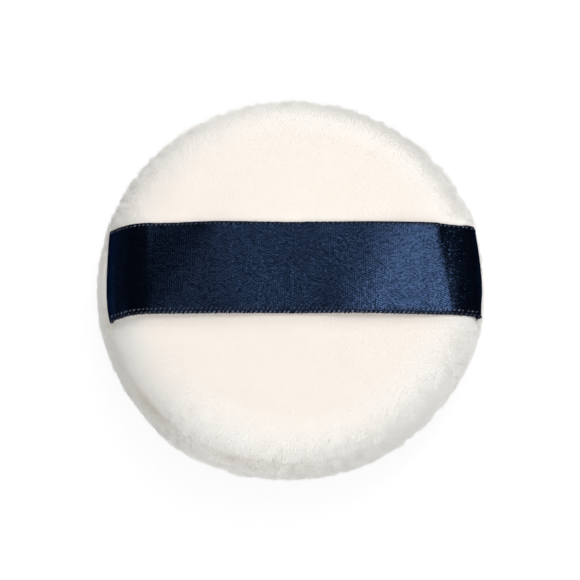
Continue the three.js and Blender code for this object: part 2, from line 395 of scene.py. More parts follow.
def swollen(grid, out, held):
    """The grid after its filling has pressed it out by simulation, except where it is held."""
    coarse = grid[::sim_segment_step, ::sim_ring_step]
    mesh = wrapped_mesh("swelling", coarse * sim_scale, True, True)
    trial = add_object("swelling", mesh)
    group = trial.vertex_groups.new(name="held")
    for i, weight in enumerate(held[::sim_segment_step, ::sim_ring_step][:, 1:-1].T.reshape(-1)):
        group.add([i], float(weight), "REPLACE")
    cloth = trial.modifiers.new("cloth", "CLOTH")
    cloth.settings.vertex_group_mass = "held"
    cloth.settings.use_pressure = True
    cloth.settings.uniform_pressure_force = sim_pressure
    cloth.settings.effector_weights.gravity = 0
    cloth.point_cache.frame_end = sim_frames
    for step in range(1, sim_frames + 1):
        bpy.context.scene.frame_set(step)
    done = trial.evaluated_get(bpy.context.evaluated_depsgraph_get()).to_mesh()
    after = np.empty(len(done.vertices) * 3)
    done.vertices.foreach_get("co", after)
    after = after.reshape(-1, 3) / sim_scale
    bpy.data.objects.remove(trial)
    bpy.data.meshes.remove(mesh)
    bpy.context.scene.frame_set(1)
    count, rings = coarse.shape[:2]
    moved = np.empty_like(coarse)
    moved[:, 1:-1] = after[:-2].reshape(rings - 2, count, 3).transpose(1, 0, 2) - coarse[:, 1:-1]
    moved[:, 0] = after[-2] - coarse[:, 0]
    moved[:, -1] = after[-1] - coarse[:, -1]
    swell = np.clip((moved * out[::sim_segment_step, ::sim_ring_step]).sum(axis=2), 0, swell_limit)
    swell = finer(finer(swell, 0, sim_segment_step, True), 1, sim_ring_step, False) * (1 - held)
    return grid + swell[..., None] * out


pad_grid, pad_out, seat_share, crease_share, groove_share = pad_form()
held_share = np.clip(seat_share + crease_share + groove_share + (pad_grid[..., 2] < foot_height), 0, 1)
pad_grid = swollen(pad_grid, pad_out, held_share)


def vector_maths(tree, operation, *values):
    """The result of a Vector Math node whose inputs are given in order."""
    return maths(tree, operation, *values, kind="ShaderNodeVectorMath")


def ramp(tree, value, stretch, first=0.0, last=1.0, kind="LINEAR"):
    """Number that passes from the first to the last one over a stretch of a value."""
    return add_node(tree, "ShaderNodeMapRange", {"interpolation_type": kind}, Value=value,
                    From_Min=stretch[0], From_Max=stretch[1], To_Min=first, To_Max=last)["Result"]


def velour_tone_and_crease_shade():
    """Node group with the velour's colour: warm in the middle, paler at the rim and darker in the seam's
    crease, where shade is painted.
    """
    tree = bpy.data.node_groups.new("velour_tone_and_crease_shade", "ShaderNodeTree")
    for name in ("Middle", "Rim", "Crease Shade"):
        tree.interface.new_socket(name, in_out="INPUT", socket_type="NodeSocketColor")
    tree.interface.new_socket("Crease Share", in_out="INPUT", socket_type="NodeSocketFloat")
    tree.interface.new_socket("Colour", in_out="OUTPUT", socket_type="NodeSocketColor")
    given = add_node(tree, "NodeGroupInput")
    place = add_node(tree, "ShaderNodeTexCoord")["Object"]
    flat = vector_maths(tree, "MULTIPLY", place, (1, 1 / length_ratio, 0))
    radius = vector_maths(tree, "LENGTH", flat)
    patches = add_node(tree, "ShaderNodeTexNoise", Vector=place, Scale=1 / tone_patch_size, Detail=3.0)["Fac"]
    patches = maths(tree, "SUBTRACT", patches, 0.5)
    uneven = maths(tree, "MULTIPLY_ADD", patches, tone_patch_shift, radius)
    outward = ramp(tree, uneven, (middle_radius, rim_radius), kind="SMOOTHSTEP")
    tone = mixed(tree, outward, given["Middle"], given["Rim"])
    # Painted shade: the crease's share darkens the tone into the seam's crease
    add_node(tree, "NodeGroupOutput", Colour=mixed(tree, given["Crease Share"], tone, given["Crease Shade"]))
    return tree


velour_colour_and_crease_shade = velour_tone_and_crease_shade()


def velour_material(name, sheen):
    """A matt material with the velour's tones, painted shade in the seam's crease and its pile's bloom, its
    tree and its shader's inputs.
    """
    material, tree, shader = shader_material(name, 1.0)
    # The crease's share, where shade is painted into the velour
    crease = add_node(tree, "ShaderNodeAttribute", {"attribute_name": "crease"})["Fac"]
    tone = tree.nodes.new("ShaderNodeGroup")
    tone.node_tree = velour_colour_and_crease_shade
    for socket, value in (("Middle", velour_middle), ("Rim", velour_rim), ("Crease Shade", crease_painted_shade)):
        tone.inputs[socket].default_value = value
    feed(tree, tone.inputs["Crease Share"], crease)
    feed(tree, shader["Base Color"], tone.outputs["Colour"])
    feed(tree, shader["Sheen Weight"], sheen)
    return material, tree, shader


velour, velour_tree, velour_shader = velour_material("velour", 0.15)
nap_place = add_node(velour_tree, "ShaderNodeTexCoord")["Object"]
nap = add_node(velour_tree, "ShaderNodeTexNoise", Vector=nap_place, Scale=1 / nap_size, Detail=2.0)["Fac"]
feed(velour_tree, velour_shader["Normal"], bumps(velour_tree, nap, nap_depth, 0.4))


def set_attribute(mesh, name, values):
    """Stores a value, or a vector, for each vertex of a mesh."""
    kind, field = ("FLOAT_VECTOR", "vector") if values.ndim == 2 else ("FLOAT", "value")
    mesh.attributes.new(name, kind, "POINT").data.foreach_set(field, values.astype(np.float32).ravel())


def ring_values(values, closed_start, closed_end):
    """Values of a grid in the order of a wrapped mesh's vertices."""
    body = values[:, open_rings(closed_start, closed_end)].T.reshape(-1)
    ends = [values[0, 0]] * closed_start + [values[0, -1]] * closed_end
    return np.append(body, ends)


def cover(name, node, rings, closed_start, closed_end):
    """One velour cover with its wall, of a range of the pad's rings."""
    mesh = wrapped_mesh(name, pad_grid[:, rings], closed_start, closed_end)
    # The crease's share, which paints shade into the velour there
    set_attribute(mesh, "crease", ring_values(crease_share[:, rings], closed_start, closed_end))
    piece = new_piece(name, mesh, velour)
    wall = piece.modifiers.new("wall", "SOLIDIFY")
    wall.thickness = cover_thickness
    wall.offset = -1
    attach(piece, "pad")
    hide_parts(node)


cover("back_velour", "back_cover", slice(0, back_rings + 1), True, False)
cover("face_velour", "face_cover", slice(back_rings, None), False, True)


# Pile
# The velour's cut pile stands on both covers, brushed outwards, fine and even over the crown and longer and
# tufted round the rim. It is pressed away under the ribbon and on the powder face that the puff lies on.
fibre_density = 50e6
fibre_width = 0.09 * mm
crown_fibre_share = 0.55
crown_pile = 0.4 * mm
rim_pile = 1.0 * mm
crown_brushing = 0.25
rim_brushing = 0.9
# How much of the rim's length and brushing the pile has at the front and at the back
front_length, back_length = 0.6, 1.2
front_brushing, back_brushing = 0.5, 0.3
tuft_size = 1.8 * mm
tuft_lean = 0.7
tuft_rise = 0.35
fibre_scatter = 0.35
fibre_shortest, fibre_longest = 0.55, 1.15
# Where the pile grows longer towards the rim, ends at the foot and the seat and lies flatter by the ribbon
pile_rim = (31 * mm, 38 * mm)
pile_rim_setback = 2.5 * mm
pile_back = (0, 0.8 * pad_radius)
pile_front = (0.2 * pad_radius, 0.6 * pad_radius)
pile_foot = (0.8 * mm, 2 * mm)
pile_seat = (0.05, 0.4)
flattened_reach = 2.5 * mm
flattened_share = 0.45
# How loose it lies: over the crown, and how much more at the back and in matted patches at the front
crown_looseness = 0.12
back_ruffling = 0.8
front_matting = 0.9
matting_size = 7 * mm
matting_levels = (0.05, 0.4)
# Patches that the pile is made in, and the room at their start in the texture layout
back_sectors = 5
face_sectors = 4
layout_margin = 0.05


def tree_with_inputs(name, inputs):
    """A geometry tree with named inputs, and their sockets by name."""
    tree = bpy.data.node_groups.new(name, "GeometryNodeTree")
    tree.interface.new_socket("Geometry", in_out="INPUT", socket_type="NodeSocketGeometry")
    tree.interface.new_socket("Geometry", in_out="OUTPUT", socket_type="NodeSocketGeometry")
    for label, kind in inputs.items():
        tree.interface.new_socket(label, in_out="INPUT", socket_type="NodeSocket" + kind)
    return tree, add_node(tree, "NodeGroupInput")


def named(tree, name, kind):
    """Values that a starting mesh gives for each of its points."""
    return add_node(tree, "GeometryNodeInputNamedAttribute", {"data_type": kind}, Name=name)["Attribute"]


def pile_tree():
    """Fibres scattered over a surface, with the share, length and comb that its points give."""
    tree, given = tree_with_inputs("pile", {
        "Density": "Float", "Fibre Width": "Float", "Tuft Size": "Float", "Tuft Lean": "Float",
        "Scatter": "Float", "Seed": "Int", "Finish": "Material",
        "Layout Start": "Float", "Layout Span": "Float", "Layout Low": "Float", "Layout High": "Float"})
    density = maths(tree, "MULTIPLY", given["Density"], named(tree, "pile_share", "FLOAT"))
    roots = add_node(tree, "GeometryNodeDistributePointsOnFaces", Mesh=given["Geometry"], Density=density,
                     Seed=given["Seed"])
    place = add_node(tree, "GeometryNodeInputPosition")["Position"]
    fineness = maths(tree, "DIVIDE", 1.0, given["Tuft Size"])
    tufts = add_node(tree, "ShaderNodeTexNoise", Vector=place, Scale=fineness, Detail=1.0)
    lean = vector_maths(tree, "SUBTRACT", tufts["Color"], (0.5, 0.5, 0.5))
    loose = named(tree, "pile_loose", "FLOAT")
    double_lean = maths(tree, "MULTIPLY", maths(tree, "MULTIPLY", given["Tuft Lean"], 2.0), loose)
    lean = vector_maths(tree, "SCALE", lean, double_lean)
    stray = add_node(tree, "FunctionNodeRandomValue", {"data_type": "FLOAT_VECTOR"}, Min=(-1, -1, -1),
                     Max=(1, 1, 1), Seed=given["Seed"])["Value"]
    stray = vector_maths(tree, "SCALE", stray, given["Scatter"])
    comb = named(tree, "pile_comb", "FLOAT_VECTOR")
    brushed = vector_maths(tree, "ADD", roots["Normal"], comb)
    heading = vector_maths(tree, "ADD", brushed, vector_maths(tree, "ADD", lean, stray))
    rotation = add_node(tree, "FunctionNodeAlignRotationToVector", {"axis": "Z"}, Vector=heading)["Rotation"]
    uneven = add_node(tree, "FunctionNodeRandomValue", {"data_type": "FLOAT"}, Min=fibre_shortest,
                      Max=fibre_longest, Seed=given["Seed"])["Value"]
    length = maths(tree, "MULTIPLY", named(tree, "pile_length", "FLOAT"), uneven)
    # Tufts stand higher and lower where the pile is loose
    rise = ramp(tree, tufts["Fac"], (0.35, 0.65), -tuft_rise, tuft_rise)
    length = maths(tree, "MULTIPLY", length, maths(tree, "MULTIPLY_ADD", rise, loose, 1.0))
    width = maths(tree, "MULTIPLY", given["Fibre Width"], named(tree, "pile_width", "FLOAT"))
    size = add_node(tree, "ShaderNodeCombineXYZ", X=width, Y=width, Z=length)
    fibre = add_node(tree, "GeometryNodeMeshCone", {"fill_type": "NONE"}, Vertices=3, Radius_Top=0.0,
                     Radius_Bottom=0.5, Depth=1.0)["Mesh"]
    standing = add_node(tree, "GeometryNodeInstanceOnPoints", Points=roots["Points"], Instance=fibre,
                        Rotation=rotation, Scale=size["Vector"])["Instances"]
    real = add_node(tree, "GeometryNodeRealizeInstances", Geometry=standing)["Geometry"]
    finished = add_node(tree, "GeometryNodeSetMaterial", Geometry=real, Material=given["Finish"])["Geometry"]
    # Texture layout: the turn round the pad from just before the sector, and the way down from the crown
    flat = add_node(tree, "ShaderNodeSeparateXYZ", Vector=place)
    turn = maths(tree, "ARCTAN2", flat["Y"], flat["X"])
    turn = maths(tree, "MULTIPLY_ADD", turn, 0.5 / math.pi, 1 + layout_margin)
    turn = maths(tree, "FRACT", maths(tree, "SUBTRACT", turn, given["Layout Start"]))
    turn = ramp(tree, turn, (layout_margin, maths(tree, "ADD", given["Layout Span"], layout_margin)))
    out = vector_maths(tree, "LENGTH", vector_maths(tree, "MULTIPLY", place, (1, 1, 0)))
    down = maths(tree, "SUBTRACT", out, flat["Z"])
    down = ramp(tree, down, (given["Layout Low"], given["Layout High"]))
    layout = add_node(tree, "ShaderNodeCombineXYZ", X=turn, Y=down)["Vector"]
    finished = add_node(tree, "GeometryNodeStoreNamedAttribute", {"data_type": "FLOAT2", "domain": "CORNER"},
                        Geometry=finished, Name="OFBake", Value=layout)["Geometry"]
    add_node(tree, "NodeGroupOutput", Geometry=finished)
    return tree


def grown(name, mesh, tree, values):
    """Plain mesh that a geometry tree makes of a starting mesh, with the tree's inputs by name."""
    source = add_object(name, mesh)
    modifier = source.modifiers.new(name, "NODES")
    modifier.node_group = tree
    for item in tree.interface.items_tree:
        if item.in_out == "INPUT" and item.name in values:
            modifier[item.identifier] = values[item.name]
    depsgraph = bpy.context.evaluated_depsgraph_get()
    made = bpy.data.meshes.new_from_object(source.evaluated_get(depsgraph))
    bpy.data.objects.remove(source)
    bpy.data.meshes.remove(mesh)
    return made


def patch_mesh(name, columns, rings, values):
    """Open mesh of a range of angles and rings of the pad, with values for each of its points."""
    columns = np.array(columns) % segments
    block = np.ix_(columns, rings)
    points = pad_grid[block].reshape(-1, 3)
    corner = np.arange(len(points)).reshape(len(columns), len(rings))
    faces = quads(corner[:-1, :-1], corner[:-1, 1:], corner[1:, 1:], corner[1:, :-1])
    mesh = new_mesh(name, list(points), faces.tolist())
    for key, value in values.items():
        set_attribute(mesh, key, value[block].reshape((-1, 3) if value.ndim == 3 else -1))
    return mesh


def pile_values():
    """Share, length, brushing and looseness of the pile at each point of the pad."""
    x, y, z = pad_grid[..., 0], pad_grid[..., 1] / length_ratio, pad_grid[..., 2]
    radius = np.hypot(x, y)
    outward = smooth_step(*pile_rim, radius)
    behind = smooth_step(*pile_back, y) * (z > widest_height)
    share = (1 - smooth_step(*pile_seat, seat_share)) * smooth_step(*pile_foot, z)
    beside = smooth_step(0, flattened_reach, np.abs(pad_grid[..., 1]) - ribbon_half_width)
    longer = front_length + (back_length - front_length) * behind
    length = crown_pile + (rim_pile - crown_pile) * outward * longer
    length = length * (flattened_share + (1 - flattened_share) * np.maximum(beside, z < seam_height))
    # Brushed down the side view's line, from the crown to the foot
    flat_x, flat_y = x / np.maximum(radius, 1e-6), y / np.maximum(radius, 1e-6)
    out_flat = pad_out[..., 0] * flat_x + pad_out[..., 1] * flat_y
    down = np.stack([pad_out[..., 2] * flat_x, pad_out[..., 2] * flat_y, -out_flat], axis=2)
    flatter = front_brushing + (back_brushing - front_brushing) * behind
    brushing = crown_brushing + (rim_brushing - crown_brushing) * outward * flatter
    comb = down * brushing[..., None]
    # Matted in patches along the front, and ruffled along the back
    patches = [noise.noise(Vector(point) / matting_size) for point in pad_grid.reshape(-1, 3)]
    matted = smooth_step(*matting_levels, np.array(patches).reshape(x.shape)) * smooth_step(*pile_front, -y)
    at_rim = smooth_step(pile_rim[0] + pile_rim_setback * behind, pile_rim[1], radius)
    looser = 1 + back_ruffling * behind + front_matting * matted
    loose = crown_looseness + (1 - crown_looseness) * at_rim * looser
    width = crown_fibre_share + (1 - crown_fibre_share) * outward
    # The crease's share goes along, for the shade painted into the pile there
    return {"pile_share": share, "pile_length": length, "pile_comb": comb, "pile_loose": loose,
            "pile_width": width, "crease": crease_share}


pile_material = velour_material("pile", 0.3)[0]
fibres = pile_tree()
pile_at = pile_values()
for part, sectors, rings, layout_low, layout_high in (
        ("back", back_sectors, np.arange(0, back_rings + 1), -20 * mm, 28 * mm),
        ("face", face_sectors, np.arange(back_rings, back_rings + face_rings + 1), 22 * mm, 38 * mm)):
    for sector in range(sectors):
        name = f"{part}_pile_{sector + 1}"
        columns = range(segments * sector // sectors, segments * (sector + 1) // sectors + 1)
        mesh = grown(name, patch_mesh(name, columns, rings, pile_at), fibres, {
            "Density": fibre_density, "Fibre Width": fibre_width, "Tuft Size": tuft_size,
            "Tuft Lean": tuft_lean, "Scatter": fibre_scatter, "Seed": sector, "Finish": pile_material,
            "Layout Start": sector / sectors, "Layout Span": 1 / sectors,
            "Layout Low": layout_low, "Layout High": layout_high})
        piece = new_piece(name, mesh, pile_material)
        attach(piece, "pad")


# Ribbon
# A strip of navy satin, laid straight across the back and caught at both ends in the rim's seam.
# Only its ends are sewn, so its middle can lift off the pile to let the fingers in; here it is built lying on
# the pile.
ribbon_thickness = 0.35 * mm
ribbon_depth = 0.15 * mm
# Its tail bends in just above the seam, and its end is drawn in where it drops over the shoulder
ribbon_tail = 1.8 * mm
tail_bend_height = 0.6 * mm
tail_bend_reach = 0.1 * mm
tail_sag = 0.1 * mm
tail_inset = 0.2 * mm
end_fullness = 0.2
end_radii = (18 * mm, 34 * mm)
end_drop = (1.8 * mm, 3.2 * mm)
# The right half folds down at the shoulder, and the fold fades out further down
fold_start = 28.3 * mm
fold_slant = 1.1 * mm
fold_width = 1.6 * mm
fold_tilt = 0.15
fold_fade = (2.5 * mm, 6 * mm)
# Relief of the weave's ribs and of the slack cloth, which is pulled flat towards the ends
rib_pitch = 0.446 * mm
rib_columns = 4
rib_height = 0.005 * mm
rows_across = 64
row_crowding = 1.15
wave_length = 36 * mm
wave_height = 0.2 * mm
left_slant, left_slant_reach = 0.9, (10 * mm, 20 * mm)
right_slant, right_slant_reach = 0.5, (4 * mm, 12 * mm)
ripple_size, ripple_slant, ripple_stretch = 9 * mm, 0.6, 0.5
ripple_height = 0.02 * mm
relief_end = (27 * mm, 33 * mm)
edge_dip = 0.4 * mm
edge_round = 0.5 * mm
edge_angle = math.radians(40)
# Gloss of the satin from its dark floats to its light ones, where it turns steep, and its bloom
satin_dark = (0.0006, 0.0018, 0.0065, 1)
satin_light = (0.0140, 0.0245, 0.0505, 1)
satin_steep = (0.02, 0.035, 0.06, 1)
satin_sheen = (0.15, 0.32, 0.75, 1)
satin_roughness = (0.30, 0.24)
float_size = 0.2 * mm
float_slant = 0.8
float_tilt = 0.09
glint_rarity = 7.0
weave_contrast = 0.28
# The weave's binding points: how many of them there are to a millimetre along and across the strip
binding = (0.857, 2.09, 0)
# Loops of weft along both woven edges, in rows: the edge, the distance from it and the size
loop_pitch = 0.45 * mm
loop_shake = 0.1 * mm
loop_end_gap = 0.5 * mm
loop_rows = ((-1, 0.22 * mm, 1.15), (-1, 0.75 * mm, 0.7), (1, 0.7 * mm, 0.8))
loop_slant, loop_slant_shake = math.radians(45), 0.35
# The lit loops' painted highlight: where it fades along the strip in each row, and how strong it is
loop_highlight_fade, loop_highlight_fading = (18 * mm, 30 * mm), 0.6
loop_highlight_strengths, loop_scales = (0.4, 1.0), (0.85, 1.15)
loop_size = {"Length": 0.72 * mm, "Width": 0.27 * mm, "Height": 0.2 * mm}
# Painted shadow between the loops, and painted highlight where the weft catches the light
loop_painted_shadow, loop_painted_highlight = (0.0005, 0.001, 0.003, 1), (0.15, 0.17, 0.24, 1)


def bent(share, first, corner, last):
    """Curve from the first to the last value, drawn towards the corner between them."""
    return (1 - share) ** 2 * first + 2 * share * (1 - share) * corner + share ** 2 * last


def ribbon_line(fullness):
    """Side view of one half of the ribbon's upper face, from the middle of the back into the seam."""
    radii, heights = pad_profile(fullness, ribbon_depth)
    last = np.argmax(heights < seam_height + tail_bend_height)
    share = np.linspace(0, 1, 20)[1:]
    over_r, over_z = radii[last - 1], heights[last - 1]
    tail_r = bent(share, over_r, over_r + tail_bend_reach, over_r - ribbon_tail)
    tail_z = bent(share, over_z, seam_height, seam_height - tail_sag)
    return np.append(radii[:last], tail_r), np.append(heights[:last], tail_z)


def ribbon_half(side, fullness, end_inset, corner_inset, corner_skew, front_tuck, tilt):
    """Grid of one half's upper face, column by row, its places along and across the strip and its length."""
    radii, heights = ribbon_line(fullness)
    length = np.hypot(np.diff(radii), np.diff(heights)).sum()
    columns = int(length / rib_pitch) * rib_columns
    radii, heights = even_steps(radii, heights, columns)
    along = np.linspace(0, length, columns + 1)
    across = np.linspace(-1, 1, rows_across + 1)
    across = ribbon_half_width * np.sign(across) * (1 - (1 - np.abs(across)) ** row_crowding)
    shift = back_shift * smooth_step(widest_height, crown_height - crown_rise, heights)
    to_edge = across / ribbon_half_width
    near_end = smooth_step(*end_radii, radii)[:, None]
    drop = smooth_step(*end_drop, heights[0] - heights)[:, None]
    inset = near_end * (end_inset + corner_inset * to_edge ** 2 + corner_skew * to_edge)
    inset = inset + drop * (tail_inset * to_edge ** 2 + front_tuck * np.maximum(0, -to_edge) ** 3)
    x = side * (radii[:, None] - inset) + shift[:, None]
    y = np.broadcast_to(across, x.shape)
    crown_curve = crown_rise * (across / pad_radius) ** 2
    rounding = edge_dip * (1 - smooth_step(0, edge_round, ribbon_half_width - np.abs(across)))
    past_fold = np.maximum(0, radii[:, None] - inset - fold_start + fold_slant * to_edge)
    in_fold = past_fold ** 2 / (2 * fold_width)
    folded = tilt * np.where(past_fold < fold_width, in_fold, past_fold - fold_width / 2)
    folded = folded * (1 - smooth_step(*fold_fade, heights[0] - heights)[:, None])
    z = heights[:, None] - crown_curve * (1 - near_end) - rounding - folded
    ribs = rib_height * np.cos(2 * math.pi * along / rib_pitch)[:, None]
    slant = left_slant * smooth_step(*left_slant_reach, -x) + right_slant * smooth_step(*right_slant_reach, x)
    slanted = x - slant * y
    waves = -wave_height * np.cos(2 * math.pi * slanted / wave_length)
    ripples = np.array([noise.noise(Vector((a + ripple_slant * b, ripple_stretch * b, 3 * mm)) / ripple_size)
                        for a, b in zip(x.ravel(), y.ravel())]).reshape(x.shape)
    z = z + (ribs + waves + ripple_height * ripples) * (1 - smooth_step(*relief_end, radii))[:, None]
    return np.stack([x, y + ribbon_offset, z], axis=2), side * along, across, length


def strip_mesh(name, grid, along, across, turned):
    """Closed mesh of a strip under its upper face's grid, whose UV map is the flat strip in millimetres."""
    columns, rows = grid.shape[:2]
    step_along = np.gradient(grid, axis=0)
    step_across = np.gradient(grid, axis=1)
    normal = np.cross(step_along, step_across)
    normal = normal / np.linalg.norm(normal, axis=2, keepdims=True) * (-1 if turned else 1)
    under = grid - ribbon_thickness * normal
    points = np.concatenate([grid.reshape(-1, 3), under.reshape(-1, 3)])
    upper = np.arange(columns * rows).reshape(columns, rows)
    lower = upper + columns * rows
    faces = np.concatenate([
        quads(upper[:-1, :-1], upper[1:, :-1], upper[1:, 1:], upper[:-1, 1:]),
        quads(lower[:-1, 1:], lower[1:, 1:], lower[1:, :-1], lower[:-1, :-1]),
        quads(lower[:-1, 0], lower[1:, 0], upper[1:, 0], upper[:-1, 0]),
        quads(upper[:-1, -1], upper[1:, -1], lower[1:, -1], lower[:-1, -1]),
        quads(upper[-1, :-1], lower[-1, :-1], lower[-1, 1:], upper[-1, 1:]),
        quads(upper[0, 1:], lower[0, 1:], lower[0, :-1], upper[0, :-1])])
    faces = faces[:, ::-1] if turned else faces
    mesh = new_mesh(name, list(points), faces.tolist())
    mesh.polygons.foreach_set("use_smooth", [True] * len(faces))
    flat = np.stack(np.meshgrid(along, across, indexing="ij"), axis=2).reshape(-1, 2) / mm
    flat = np.concatenate([flat, flat])
    mesh.set_sharp_from_angle(angle=edge_angle)
    uv = mesh.uv_layers.new(name="strip")
    uv.data.foreach_set("uv", flat[faces.ravel()].astype(np.float32).ravel())
    return mesh


def satin_material():
    material, tree, shader = shader_material("satin", satin_roughness[0])
    strip = add_node(tree, "ShaderNodeUVMap", {"uv_map": "strip"})["UV"]
    slanted = add_node(tree, "ShaderNodeMapping", Vector=strip, Rotation=(0, 0, float_slant))["Vector"]

    def turns(per_mm):
        """Angle that makes that many full turns to a millimetre along and across the strip."""
        return vector_maths(tree, "DOT_PRODUCT", strip, [2 * math.pi * n for n in per_mm])

    # Each float of the weave shows its own tone
    floats = vector_maths(tree, "SNAP", slanted, (float_size / mm, float_size / mm, 1))
    uneven = add_node(tree, "ShaderNodeTexWhiteNoise", {"noise_dimensions": "2D"}, Vector=floats)
    # The weft binds each rib at even steps, and a little further on at the next rib
    turn = turns(binding)
    next_turn = maths(tree, "SUBTRACT", turns((mm / rib_pitch, 0, 0)), turn)
    weave = maths(tree, "ADD", maths(tree, "COSINE", turn), maths(tree, "COSINE", next_turn))
    grain = maths(tree, "MULTIPLY_ADD", weave, weave_contrast, uneven["Value"])
    grain = add_node(tree, "ShaderNodeClamp", Value=grain)["Result"]
    feed(tree, shader["Base Color"], mixed(tree, grain, satin_dark, satin_light))
    feed(tree, shader["Roughness"], ramp(tree, grain, (0.0, 1.0), *satin_roughness))
    # Most floats lie flat and a few far off, so that these glint where the strip is dark
    swing = add_node(tree, "ShaderNodeSeparateColor", Color=uneven["Color"])["Green"]
    swing = maths(tree, "MULTIPLY_ADD", swing, 2.0, -1.0)
    lean = maths(tree, "MULTIPLY_ADD", maths(tree, "POWER", swing, glint_rarity), float_tilt / 2, 0.5)
    facing = add_node(tree, "ShaderNodeCombineColor", Red=lean, Green=0.5, Blue=1.0)["Color"]
    normal = add_node(tree, "ShaderNodeNormalMap", {"uv_map": "strip"}, Color=facing)["Normal"]
    feed(tree, shader["Normal"], normal)
    tangent = add_node(tree, "ShaderNodeTangent", {"direction_type": "UV_MAP", "uv_map": "strip"})["Tangent"]
    feed(tree, shader["Tangent"], tangent)
    feed(tree, shader["Anisotropic"], 0.95)
    feed(tree, shader["Anisotropic Rotation"], 0.25)
    # Filament yarn: its gloss has the dye's colour, and fades where the strip turns steeply away
    feed(tree, shader["Metallic"], 1.0)
    feed(tree, shader["Specular Tint"], satin_steep)
    feed(tree, shader["Sheen Weight"], 0.08)
    feed(tree, shader["Sheen Roughness"], 0.4)
    feed(tree, shader["Sheen Tint"], satin_sheen)
    return material


def loop_points(grid, along, across):
    """Points in rows along the woven edges, with each loop's heading, upper side, tone and size; the tone is
    painted highlight or painted shadow.
    """
    places = np.arange(loop_pitch / 2, np.abs(along).max() - ribbon_tail - loop_end_gap, loop_pitch)
    step_along = np.gradient(grid, axis=0) / np.gradient(np.abs(along))[:, None, None]
    points, headings, normals, tones, sizes = [], [], [], [], []
    jitter = np.random.default_rng(7)
    places = places + jitter.uniform(-1, 1, len(places)) * loop_shake
    for phase, (edge, inset, scale) in enumerate(loop_rows):
        row = np.argmin(np.abs(across - edge * (ribbon_half_width - inset)))
        lines = []
        for values in (grid[:, row], step_along[:, row], grid[:, row + 1] - grid[:, row - 1]):
            lines.append(np.stack([np.interp(places, np.abs(along), values[:, k]) for k in range(3)], axis=1))
        run, over = (line / np.linalg.norm(line, axis=1, keepdims=True) for line in lines[1:])
        run = run * np.sign(along.sum())
        points.append(lines[0])
        slant = loop_slant + jitter.uniform(-loop_slant_shake, loop_slant_shake, (len(places), 1))
        headings.append(run * np.cos(slant) + over * np.sin(slant))
        normals.append(np.cross(run, over))
        # The edge's own row keeps its painted highlight in the middle of the strip, and the ones inside it
        # towards the ends
        towards_end = smooth_step(*loop_highlight_fade, places)
        highlight_shown = 1 - loop_highlight_fading * (towards_end if phase == 0 else 1 - towards_end)
        # Every other loop gets painted highlight, and the ones between them painted shadow
        lit = (np.arange(len(places)) + phase) % 2
        tones.append(lit * jitter.uniform(*loop_highlight_strengths, len(places)) * highlight_shown)
        sizes.append(jitter.uniform(*loop_scales, len(places)) * scale)
    mesh = new_mesh("loops", np.concatenate(points).tolist(), [])
    for key, values in (("heading", headings), ("normal", normals), ("tone", tones), ("scale", sizes)):
        set_attribute(mesh, "loop_" + key, np.concatenate(values))
    return mesh


def loop_tree():
    """A flat bead on each point, along its heading."""
    tree, given = tree_with_inputs("selvedge", {"Length": "Float", "Width": "Float", "Height": "Float",
                                                "Finish": "Material"})
    rotation = add_node(tree, "FunctionNodeAxesToRotation", {"primary_axis": "Z", "secondary_axis": "X"},
                        Primary_Axis=named(tree, "loop_normal", "FLOAT_VECTOR"),
                        Secondary_Axis=named(tree, "loop_heading", "FLOAT_VECTOR"))["Rotation"]
    size = add_node(tree, "ShaderNodeCombineXYZ", X=given["Length"], Y=given["Width"], Z=given["Height"])
    size = vector_maths(tree, "SCALE", size["Vector"], named(tree, "loop_scale", "FLOAT"))
    bead = add_node(tree, "GeometryNodeMeshIcoSphere", Radius=0.5, Subdivisions=2)["Mesh"]
    row = add_node(tree, "GeometryNodeInstanceOnPoints", Points=given["Geometry"], Instance=bead,
                   Rotation=rotation, Scale=size)["Instances"]
    real = add_node(tree, "GeometryNodeRealizeInstances", Geometry=row)["Geometry"]
    finished = add_node(tree, "GeometryNodeSetMaterial", Geometry=real, Material=given["Finish"])["Geometry"]
    add_node(tree, "NodeGroupOutput", Geometry=finished)
    return tree


satin = satin_material()
weft, weft_tree, weft_shader = shader_material("weft", 0.7)
feed(weft_tree, weft_shader["Specular IOR Level"], 0.1)
# The loops' tone runs from painted shadow to painted highlight
loop_tone = add_node(weft_tree, "ShaderNodeAttribute", {"attribute_name": "loop_tone"})["Fac"]
feed(weft_tree, weft_shader["Base Color"], mixed(weft_tree, loop_tone, loop_painted_shadow, loop_painted_highlight))
loops = loop_tree()
for label, side, fullness, inset, corner, skew, tuck, tilt in (
        ("left", -1, left_fullness, 0.4 * mm, 0.1 * mm, 0.0, 0.6 * mm, 0.0),
        ("right", 1, end_fullness, 0.9 * mm, 0.25 * mm, 0.5 * mm, 1.2 * mm, fold_tilt)):
    grid, along, across, length = ribbon_half(side, fullness, inset, corner, skew, tuck, tilt)
    mesh = strip_mesh(f"ribbon_{label}", grid, along, across, side < 0)
    piece = new_piece(f"ribbon_{label}", mesh, satin)
    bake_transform(piece)
    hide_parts("ribbon_band", f"ribbon_end_{label}")
    edge_mesh = grown(f"selvedge_{label}", loop_points(grid, along, across), loops,
                      {**loop_size, "Finish": weft})
    edging = new_piece(f"selvedge_{label}", edge_mesh, weft)
    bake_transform(edging)


# Seam threads
# Cream spun thread: a machine seam round the rim holds both covers and the ribbon's ends, and hand stitches
# close the gap that the cover was turned through. Both lie hidden at the bottom of the crease.
thread_twist = 0.5 * mm
thread_ply_depth = 0.05 * mm
thread_tones = (0.66, 0.58, 0.47, 1), (0.88, 0.81, 0.71, 1)

thread = textured("thread", 0.7, thread_tones, thread_ply_depth, "ShaderNodeTexWave", "Fac",
                  {"bands_direction": "DIAGONAL"}, Scale=1 / thread_twist, Distortion=1.0)
for node in ("rim_seam_thread", "closing_seam_thread"):
    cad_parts[node].material_slots[0].material = thread


